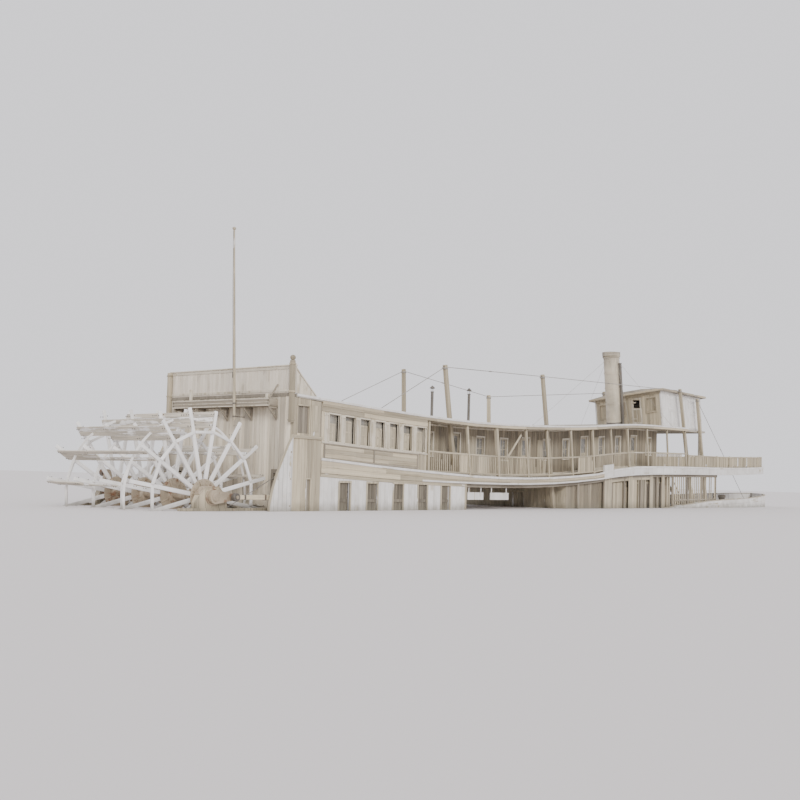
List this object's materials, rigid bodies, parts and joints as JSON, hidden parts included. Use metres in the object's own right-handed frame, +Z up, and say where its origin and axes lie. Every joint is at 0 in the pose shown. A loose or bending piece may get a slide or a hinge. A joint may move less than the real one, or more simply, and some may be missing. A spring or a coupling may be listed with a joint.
{
  "type": "scale model of a sternwheel paddle steamer, 1:2",
  "caption": "Flat-bottomed sternwheel river steamer with a hogged sheer, passenger decks, a stack, hog trusses, a pilothouse and an open paddle wheel aft",
  "frame": {"origin": "under the middle of the flat bottom, on the plane it stands on", "axes": "+X forward to the bow, +Y to port, +Z up"},
  "size_m": [32.3362, 3.6425, 6.9707],
  "materials": {
    "white_paint": "old white paint, matt",
    "wheel_paint": "old white paint on wood, matt",
    "cream_paint": "old cream paint, matt",
    "weathered_boards": "weathered boards",
    "deck_planks": "worn planks",
    "roof_canvas": "painted canvas",
    "iron": "sooty, rusted"
  },
  "bodies": {
    "vessel": {"hull": "white_paint", "main_deck": "deck_planks", "fore_hatch": "weathered_boards", "bow_bulwark": "white_paint", "hog_truss_starboard": "cream_paint", "hog_truss_port": "cream_paint", "cylinder_timber_starboard": "weathered_boards", "cylinder_timber_port": "weathered_boards", "engine_starboard": "iron", "engine_port": "iron", "boiler": "iron", "house_side_starboard": "white_paint", "house_side_port": "white_paint", "boiler_room": "weathered_boards", "stern_bulkhead": "weathered_boards", "stern_screen": "cream_paint", "corner_post_starboard": "cream_paint", "corner_post_port": "cream_paint", "stern_gallery": "weathered_boards", "flagstaff": "cream_paint", "corner_wall_starboard": "weathered_boards", "corner_wall_port": "weathered_boards", "splash_wing_starboard": "white_paint", "splash_wing_port": "white_paint", "upper_deck": "deck_planks", "bow_stairs": "weathered_boards", "saloon_side_starboard": "cream_paint", "saloon_side_port": "cream_paint", "cabin_side_starboard": "weathered_boards", "cabin_side_port": "weathered_boards", "cabin_front": "weathered_boards", "promenade_rail_starboard": "cream_paint", "promenade_rail_port": "cream_paint", "main_stanchions_starboard": "weathered_boards", "main_stanchions_port": "weathered_boards", "fore_rail": "cream_paint", "roof": "roof_canvas", "pilothouse_side_starboard": "white_paint", "pilothouse_side_port": "white_paint", "pilothouse_aft": "weathered_boards", "pilothouse_front": "white_paint", "pilothouse_roof": "roof_canvas", "stack": "iron", "escape_pipe": "iron"},
    "paddle_wheel": {"wheel_shaft": "iron", "wheel_frame_1": "wheel_paint", "wheel_frame_2": "wheel_paint", "wheel_frame_3": "wheel_paint", "wheel_frame_4": "wheel_paint", "paddle_buckets": "wheel_paint"},
    "pitman_starboard_rod": {"pitman_starboard": "weathered_boards"},
    "pitman_port_rod": {"pitman_port": "weathered_boards"},
    "rudder_starboard_blade": {"rudder_starboard": "weathered_boards"},
    "rudder_port_blade": {"rudder_port": "weathered_boards"},
    "cabin_door_starboard_leaf": {"cabin_door_starboard": "cream_paint"},
    "cabin_door_port_leaf": {"cabin_door_port": "cream_paint"},
    "pilothouse_door_leaf": {"pilothouse_door": "cream_paint"},
    "capstan_barrel": {"capstan": "iron"}
  },
  "joints": [
    {"name": "wheel_spin", "type": "hinge", "parent": "vessel", "child": "paddle_wheel", "pos_m": [-14.575, 0, 1.8], "axis": [0, 1, 0], "continuous": true},
    {"name": "pitman_starboard_pivot", "type": "hinge", "parent": "paddle_wheel", "child": "pitman_starboard_rod", "pos_m": [-14.2, -1.6675, 1.8], "axis": [0, 1, 0], "continuous": true},
    {"name": "pitman_port_pivot", "type": "hinge", "parent": "paddle_wheel", "child": "pitman_port_rod", "pos_m": [-14.575, 1.6675, 2.175], "axis": [0, 1, 0], "continuous": true},
    {"name": "rudder_starboard_turn", "type": "hinge", "parent": "vessel", "child": "rudder_starboard_blade", "pos_m": [-12.775, -0.8, 0.35], "axis": [0, 0, 1], "range_deg": [-40, 40]},
    {"name": "rudder_port_turn", "type": "hinge", "parent": "vessel", "child": "rudder_port_blade", "pos_m": [-12.775, 0.8, 0.35], "axis": [0, 0, 1], "range_deg": [-40, 40]},
    {"name": "cabin_door_starboard_swing", "type": "hinge", "parent": "vessel", "child": "cabin_door_starboard_leaf", "pos_m": [4.3353, -0.369, 3.35], "axis": [0, 0, -1], "range_deg": [0, 110]},
    {"name": "cabin_door_port_swing", "type": "hinge", "parent": "vessel", "child": "cabin_door_port_leaf", "pos_m": [4.3353, 0.369, 3.35], "axis": [0, 0, 1], "range_deg": [0, 110]},
    {"name": "pilothouse_door_swing", "type": "hinge", "parent": "vessel", "child": "pilothouse_door_leaf", "pos_m": [4.5917, -0.125, 4.65], "axis": [0.1961, 0, -0.9806], "range_deg": [0, 110]},
    {"name": "capstan_spin", "type": "hinge", "parent": "vessel", "child": "capstan_barrel", "pos_m": [12.875, 0, 1.8], "axis": [0, 0, 1], "continuous": true}
  ],
  "couplings": [
    {"joint": "pitman_starboard_pivot", "follows": "wheel_spin", "ratio": -1},
    {"joint": "pitman_port_pivot", "follows": "wheel_spin", "ratio": -1},
    {"joint": "rudder_port_turn", "follows": "rudder_starboard_turn", "ratio": 1}
  ]
}
